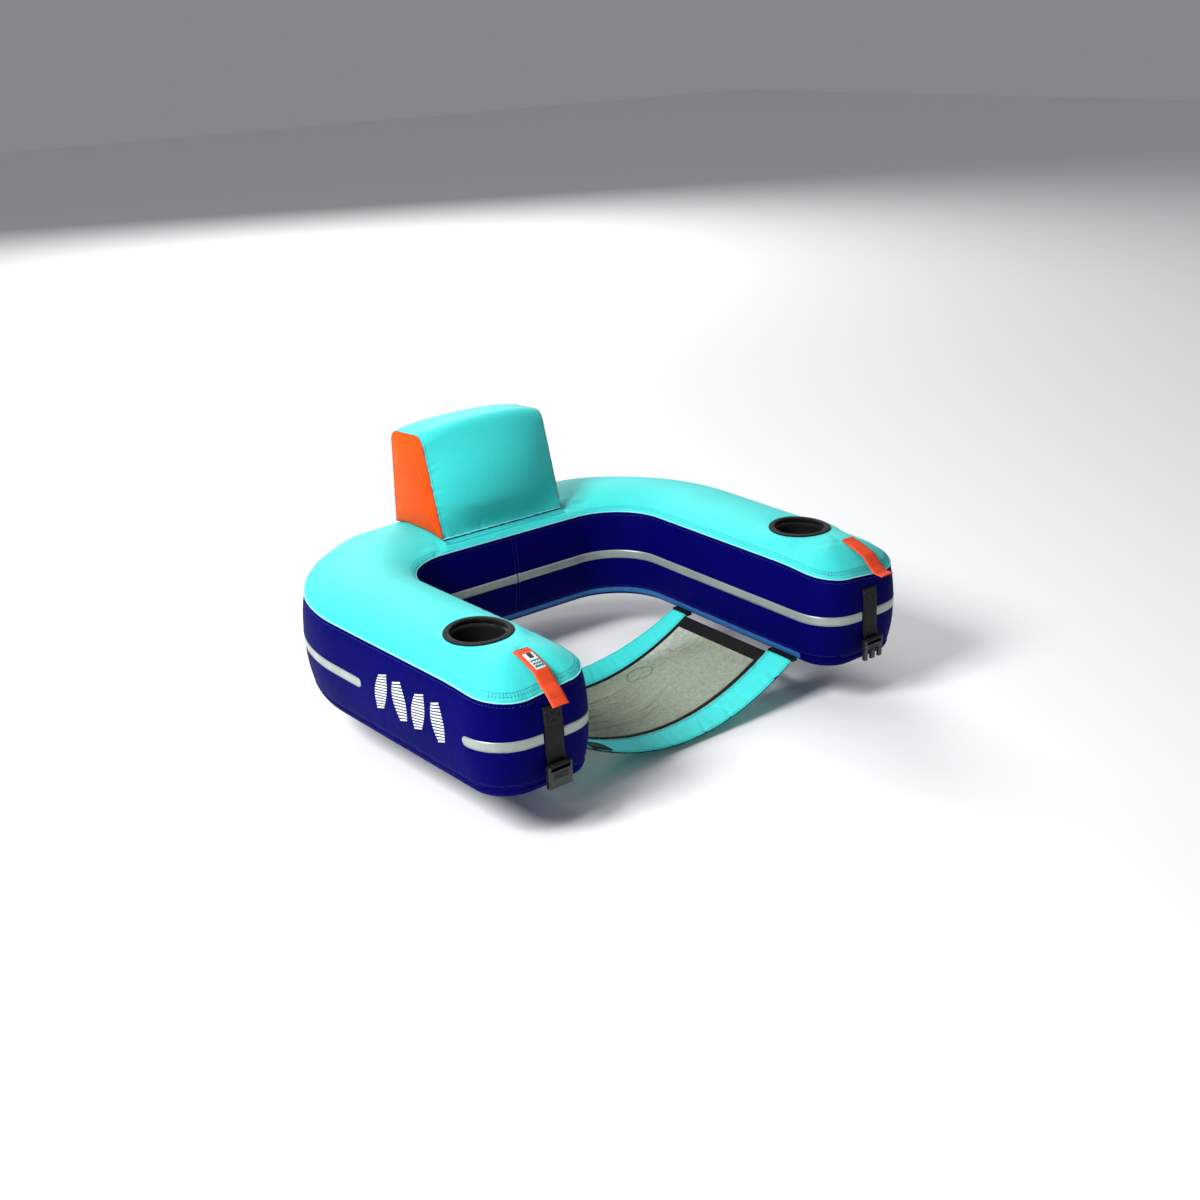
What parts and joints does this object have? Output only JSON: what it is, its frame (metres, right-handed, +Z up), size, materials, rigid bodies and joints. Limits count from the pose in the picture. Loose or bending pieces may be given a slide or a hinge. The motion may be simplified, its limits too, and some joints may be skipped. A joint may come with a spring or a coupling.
{
  "type": "inflatable pool float",
  "caption": "U-shaped inflatable pool lounger with a folding air-filled backrest, cup pockets in both arms and a mesh sling seat hung between them.",
  "frame": {"origin": "on the flat underside, below the middle of the back section of the tube", "axes": "+Z up, -Y towards the open front, +X towards the arm on the right as seen from the front camera side, X = 0 the plane of symmetry"},
  "size_m": [1.015, 0.9192, 0.4964],
  "materials": {
    "turquoise_neoprene": "knit-faced neoprene",
    "navy_polyester": "coated woven polyester",
    "reflective_tape": "silver reflective tape",
    "black_neoprene": "knit-faced neoprene",
    "black_webbing": "woven webbing",
    "orange_webbing": "woven webbing",
    "orange_polyester": "woven polyester",
    "black_mesh": "open warp-knit mesh",
    "black_acetal": "moulded acetal",
    "blue_zip": "coil zip and tape",
    "clear_bladder": "welded vinyl film",
    "white_valve": "moulded vinyl",
    "woven_label": "woven damask",
    "zinc_slider": "die-cast zinc"
  },
  "bodies": {
    "float": {"top_panel": "turquoise_neoprene", "bottom_panel": "navy_polyester", "outer_wall": "navy_polyester", "inner_wall_left": "navy_polyester", "inner_wall_right": "navy_polyester", "tube_bladder": "clear_bladder", "stripe_back": "reflective_tape", "stripe_tip_left": "reflective_tape", "stripe_tip_right": "reflective_tape", "stripe_inner_left": "reflective_tape", "stripe_inner_right": "reflective_tape", "cup_pocket_left": "black_neoprene", "cup_pocket_right": "black_neoprene", "cup_rim_left": "black_neoprene", "cup_rim_right": "black_neoprene", "tab_anchor_left": "orange_webbing", "tab_anchor_right": "orange_webbing", "tip_strap_left": "black_webbing", "tip_strap_right": "black_webbing", "backrest_flange": "turquoise_neoprene", "zipper_tape": "blue_zip", "zipper_teeth": "blue_zip", "valve_base": "white_valve", "seat_anchor_front_left": "black_webbing", "seat_anchor_front_right": "black_webbing", "seat_anchor_rear_left": "black_webbing", "seat_anchor_rear_right": "black_webbing"},
    "backrest": {"backrest_wrap": "turquoise_neoprene", "backrest_side_left": "orange_polyester", "backrest_side_right": "orange_polyester", "backrest_base": "navy_polyester", "backrest_bladder": "clear_bladder", "backrest_valve_base": "white_valve"},
    "backrest_cap": {"backrest_valve_cap": "white_valve"},
    "valve_cap_body": {"valve_cap": "white_valve"},
    "tab_left_body": {"tab_left": "orange_webbing", "tab_label": "woven_label"},
    "tab_right_body": {"tab_right": "orange_webbing"},
    "buckle_left": {"buckle_socket": "black_acetal"},
    "buckle_right": {"buckle_plug": "black_acetal"},
    "slider": {"zipper_slider": "zinc_slider"},
    "pull": {"zipper_pull": "black_acetal"},
    "seat": {"seat_mesh": "black_mesh", "seat_front_band": "turquoise_neoprene", "seat_rear_band": "turquoise_neoprene", "seat_front_binding": "black_webbing", "seat_rear_binding": "black_webbing", "seat_edge_left": "black_webbing", "seat_edge_right": "black_webbing", "seat_band_patch": "black_webbing"}
  },
  "joints": [
    {"name": "backrest_fold", "type": "hinge", "parent": "float", "child": "backrest", "pos_m": [0, -0.0975, 0.2065], "axis": [1, 0, 0], "range_deg": [0, 78]},
    {"name": "backrest_cap_flip", "type": "hinge", "parent": "backrest", "child": "backrest_cap", "pos_m": [0, 0.1063, 0.2685], "axis": [1, 0, 0], "range_deg": [0, 120]},
    {"name": "valve_cap_flip", "type": "hinge", "parent": "float", "child": "valve_cap_body", "pos_m": [0, 0.1371, 0.1515], "axis": [1, 0, 0], "range_deg": [0, 120]},
    {"name": "tab_left_lift", "type": "hinge", "parent": "float", "child": "tab_left_body", "pos_m": [-0.3733, -0.687, 0.2187], "axis": [-1, 0, 0], "range_deg": [0, 120]},
    {"name": "tab_right_lift", "type": "hinge", "parent": "float", "child": "tab_right_body", "pos_m": [0.3913, -0.687, 0.2187], "axis": [-1, 0, 0], "range_deg": [0, 120]},
    {"name": "buckle_left_swing", "type": "hinge", "parent": "float", "child": "buckle_left", "pos_m": [-0.3719, -0.76, 0.05], "axis": [-1, 0, 0], "range_deg": [0, 105]},
    {"name": "buckle_right_swing", "type": "hinge", "parent": "float", "child": "buckle_right", "pos_m": [0.3719, -0.76, 0.05], "axis": [-1, 0, 0], "range_deg": [0, 105]},
    {"name": "zipper_slide", "type": "slide", "parent": "float", "child": "slider", "axis": [1, 0, 0], "range_m": [0, 0.26]},
    {"name": "zipper_pull_lift", "type": "hinge", "parent": "slider", "child": "pull", "pos_m": [-0.13, -0.129, 0.0196], "axis": [-1, 0, 0], "range_deg": [0, 100]},
    {"name": "seat_give", "type": "slide", "parent": "float", "child": "seat", "axis": [0, 0, 1], "range_m": [0, 0.082], "deforming": ["seat_mesh", "seat_front_band", "seat_rear_band", "seat_front_binding", "seat_rear_binding", "seat_edge_left", "seat_edge_right", "seat_band_patch"]}
  ]
}
